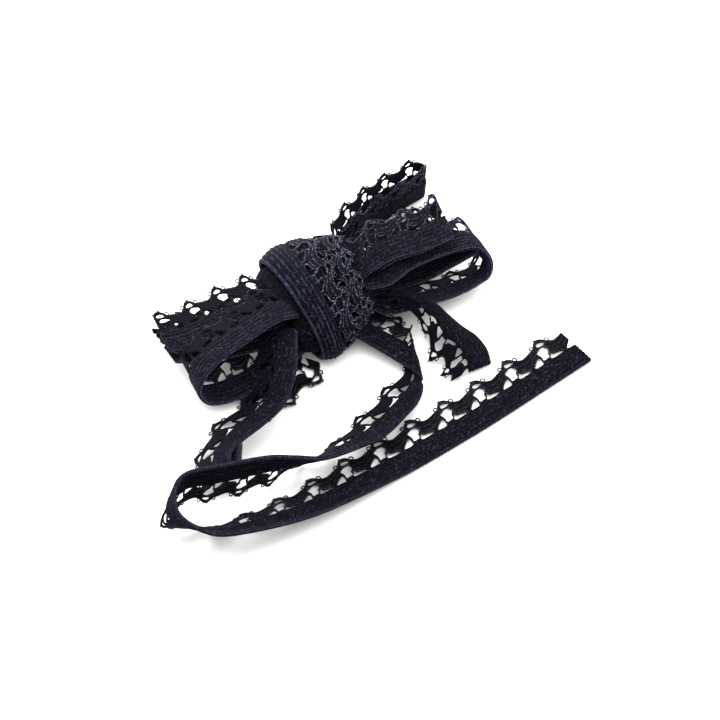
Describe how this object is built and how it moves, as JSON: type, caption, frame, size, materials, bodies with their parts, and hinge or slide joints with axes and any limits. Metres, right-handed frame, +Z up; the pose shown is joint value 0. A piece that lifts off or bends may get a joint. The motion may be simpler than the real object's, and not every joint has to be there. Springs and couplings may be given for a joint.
{
  "type": "hank of picot elastic",
  "caption": "A folded hank of dark lace-edged elastic, tied round its waist with turns of the same elastic, with loose ends lying beside it.",
  "frame": {"origin": "the middle of the footprint, on the surface the hank lies on", "axes": "+X runs to the right as the hank is seen from its front, +Y away from that viewer, along its longest extent, and +Z up, its shortest extent"},
  "size_m": [0.1028, 0.1141, 0.0172],
  "materials": {
    "hank_yarn": "matt knitted elastic with a faint sheen",
    "wrap_yarn": "matt knitted elastic, stretched, with a faint sheen",
    "tail_yarn": "matt knitted elastic with a lace edge"
  },
  "bodies": {
    "root": {"hank": "hank_yarn", "waist_wrap": "wrap_yarn", "long_tail": "tail_yarn", "short_tail": "tail_yarn", "front_tail": "tail_yarn", "under_tail": "tail_yarn"}
  },
  "joints": []
}
